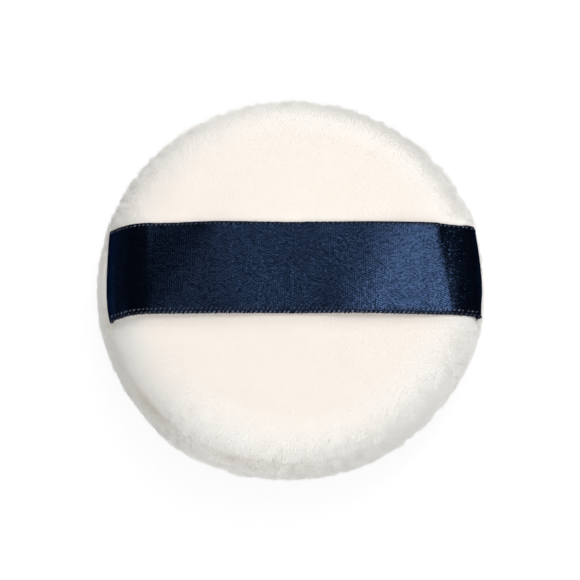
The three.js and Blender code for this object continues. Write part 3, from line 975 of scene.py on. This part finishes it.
# Stage
# A white floor, a long soft lamp overhead at the back and a pale sky, seen as in a catalogue picture.
# The sky is dark to both sides, so that the satin's ends stay dark and its middle shines.
floor_reach = 3.0
floor_white = 0.92
floor_bounce, floor_shade = (0.46, 0.46, 0.46, 1), (0.09, 0.09, 0.09, 1)
lamp_width, lamp_length = 0.13, 0.42
lamp_power = 2.55
lamp_place = Vector((0.20, 0.29, 0.70))
# Levels of the sky, and where they pass into each other as it is seen to the right, to the back and upwards
sky_panel, sky_front, sky_back, sky_side = 1.55, 3.15, 1.75, 0.12
front_to_back, middle_to_side, low_to_panel = (-0.6, 0.6), (0.35, 0.7), (0.25, 0.65)
panel_left, panel_right, panel_far_left = (-0.21, -0.11), (0.22, 0.36), (-0.7, -0.25)
left_level, right_share, far_left_share = 0.13, 0.05, 0.35
camera_lens = 126
camera_distance = 400 * mm
camera_elevation = math.radians(69.6)
camera_aim = Vector((0.14 * mm, -1.0 * mm, 9.7 * mm))

floor_corners = [(floor_reach * x, floor_reach * y, 0) for x, y in ((-1, -1), (1, -1), (1, 1), (-1, 1))]
floor_mesh = new_mesh("floor", floor_corners, [(0, 1, 2, 3)])
floor_material, floor_tree, floor_shader = shader_material("floor", 1.0)
ray = add_node(floor_tree, "ShaderNodeLightPath")
seen = maths(floor_tree, "MAXIMUM", ray["Is Camera Ray"], ray["Is Glossy Ray"])
feed(floor_tree, floor_shader["Base Color"], mixed(floor_tree, seen, floor_bounce, floor_shade))
feed(floor_tree, floor_shader["Emission Color"], (1, 1, 1, 1))
feed(floor_tree, floor_shader["Emission Strength"], maths(floor_tree, "MULTIPLY", seen, floor_white))
feed(floor_tree, floor_shader["Specular IOR Level"], 0.0)
floor = new_piece("floor", floor_mesh, floor_material)

world = bpy.data.worlds.new("studio")
bpy.context.scene.world = world
world.use_nodes = True
sky_tree = world.node_tree
sky = sky_tree.nodes["Background"].inputs
sky_direction = add_node(sky_tree, "ShaderNodeTexCoord")["Generated"]
towards = add_node(sky_tree, "ShaderNodeSeparateXYZ", Vector=sky_direction)


def sky_ramp(value, stretch, first, last):
    """Level of the sky that passes softly from the first to the last one over a stretch of a value."""
    return ramp(sky_tree, value, stretch, first, last, "SMOOTHSTEP")


# Pale low down at the front and the back, and in a panel overhead
low_level = maths(sky_tree, "MULTIPLY", sky_ramp(towards["Y"], front_to_back, sky_front, sky_back),
                  sky_ramp(maths(sky_tree, "ABSOLUTE", towards["X"]), middle_to_side, 1.0, sky_side))
panel_level = maths(sky_tree, "MULTIPLY", sky_ramp(towards["X"], panel_left, left_level, sky_panel),
                    sky_ramp(towards["X"], panel_right, 1.0, right_share))
panel_level = maths(sky_tree, "MULTIPLY", panel_level,
                    sky_ramp(towards["X"], panel_far_left, far_left_share, 1.0))
above = sky_ramp(towards["Z"], low_to_panel, 0.0, 1.0)
sky_level = mixed(sky_tree, above, low_level, panel_level, "FLOAT")
# Plain white where it is seen behind the object
behind_object = add_node(sky_tree, "ShaderNodeLightPath")["Is Camera Ray"]
feed(sky_tree, sky["Color"], (1, 1, 1, 1))
feed(sky_tree, sky["Strength"], mixed(sky_tree, behind_object, sky_level, 1.0, "FLOAT"))

lamp = bpy.data.lights.new("softbox", "AREA")
lamp.shape = "RECTANGLE"
lamp.size = lamp_width
lamp.size_y = lamp_length
lamp.energy = lamp_power
softbox = add_object("softbox", lamp)
softbox.location = lamp_place
softbox.rotation_euler = (-lamp_place).to_track_quat("-Z", "Y").to_euler()

camera_data = bpy.data.cameras.new("camera")
camera_data.lens = camera_lens
camera_data.sensor_width = 36
camera = add_object("camera", camera_data)
back_off = Vector((0, -math.cos(camera_elevation), math.sin(camera_elevation)))
camera.location = camera_aim + camera_distance * back_off
camera.rotation_euler = (-back_off).to_track_quat("-Z", "Y").to_euler()
bpy.context.scene.camera = camera
bpy.context.scene.view_settings.view_transform = "Standard"
